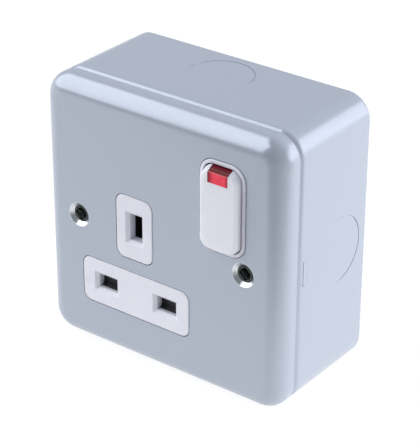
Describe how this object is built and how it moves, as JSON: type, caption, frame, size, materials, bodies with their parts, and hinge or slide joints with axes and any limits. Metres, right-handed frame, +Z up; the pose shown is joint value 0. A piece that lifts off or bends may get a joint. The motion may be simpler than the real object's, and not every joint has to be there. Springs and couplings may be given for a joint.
{
  "type": "switched socket",
  "caption": "Metal-clad mains socket outlet on its surface box, with shuttered pin slots and a rocker switch that carries an indicator lens.",
  "frame": {"origin": "centre of the back face, where the box lies on the wall", "axes": "X to the right seen from the front, Z up, Y from the front face into the wall"},
  "size_m": [0.0864, 0.0465, 0.0864],
  "materials": {
    "silver_paint": "satin silver paint",
    "white_plastic": "moulded gloss",
    "rocker_plastic": "moulded gloss",
    "black_plastic": "moulded matt",
    "shutter_plastic": "moulded matt",
    "red_lens": "clear red moulding",
    "zinc_steel": "bright zinc plate",
    "spring_steel": "drawn wire",
    "brass": "rolled strip",
    "lamp_glass": "clear tube",
    "resistor_body": "lacquered",
    "tinned_wire": "tinned wire"
  },
  "bodies": {
    "housing": {"front_plate": "silver_paint", "back_box": "silver_paint", "screw_lug_left": "zinc_steel", "screw_lug_right": "zinc_steel", "plate_screws": "zinc_steel", "front_moulding": "white_plastic", "base_moulding": "black_plastic", "rear_cover": "black_plastic", "assembly_screws": "zinc_steel", "plate_studs": "zinc_steel", "stud_nuts": "zinc_steel", "shutter_spring": "spring_steel", "line_fixed_contact": "brass", "neutral_fixed_contact": "brass", "line_contact": "brass", "neutral_contact": "brass", "earth_contact": "brass", "line_terminal": "brass", "neutral_terminal": "brass", "earth_terminal": "brass", "terminal_screws": "zinc_steel", "earth_strap": "brass", "neon_lamp": "lamp_glass", "neon_resistor": "resistor_body", "neon_leads": "tinned_wire", "box_earth_terminal": "brass", "box_earth_screw": "zinc_steel"},
    "rocker": {"rocker": "rocker_plastic", "neon_lens": "red_lens", "line_plunger": "black_plastic", "neutral_plunger": "black_plastic", "line_plunger_spring": "spring_steel", "neutral_plunger_spring": "spring_steel"},
    "line_lever": {"line_lever": "brass"},
    "neutral_lever": {"neutral_lever": "brass"},
    "shutter": {"shutter": "shutter_plastic"}
  },
  "joints": [
    {"name": "rocker_switch", "type": "hinge", "parent": "housing", "child": "rocker", "pos_m": [0.0229, -0.0416, 0.0188], "axis": [-1, 0, 0], "range_deg": [0, 8]},
    {"name": "line_lever_rock", "type": "hinge", "parent": "housing", "child": "line_lever", "pos_m": [0.0264, -0.0304, 0.0188], "axis": [1, 0, 0], "range_deg": [0, 16]},
    {"name": "neutral_lever_rock", "type": "hinge", "parent": "housing", "child": "neutral_lever", "pos_m": [0.0194, -0.0304, 0.0188], "axis": [1, 0, 0], "range_deg": [0, 16]},
    {"name": "shutter_slide", "type": "slide", "parent": "housing", "child": "shutter", "axis": [0, 0, 1], "range_m": [0, 0.0058], "stiffness_N_per_m": 150, "springref_m": -0.01, "deforming": ["shutter_spring"]}
  ],
  "couplings": [
    {"joint": "line_lever_rock", "follows": "rocker_switch", "ratio": 2},
    {"joint": "neutral_lever_rock", "follows": "rocker_switch", "ratio": 2}
  ]
}
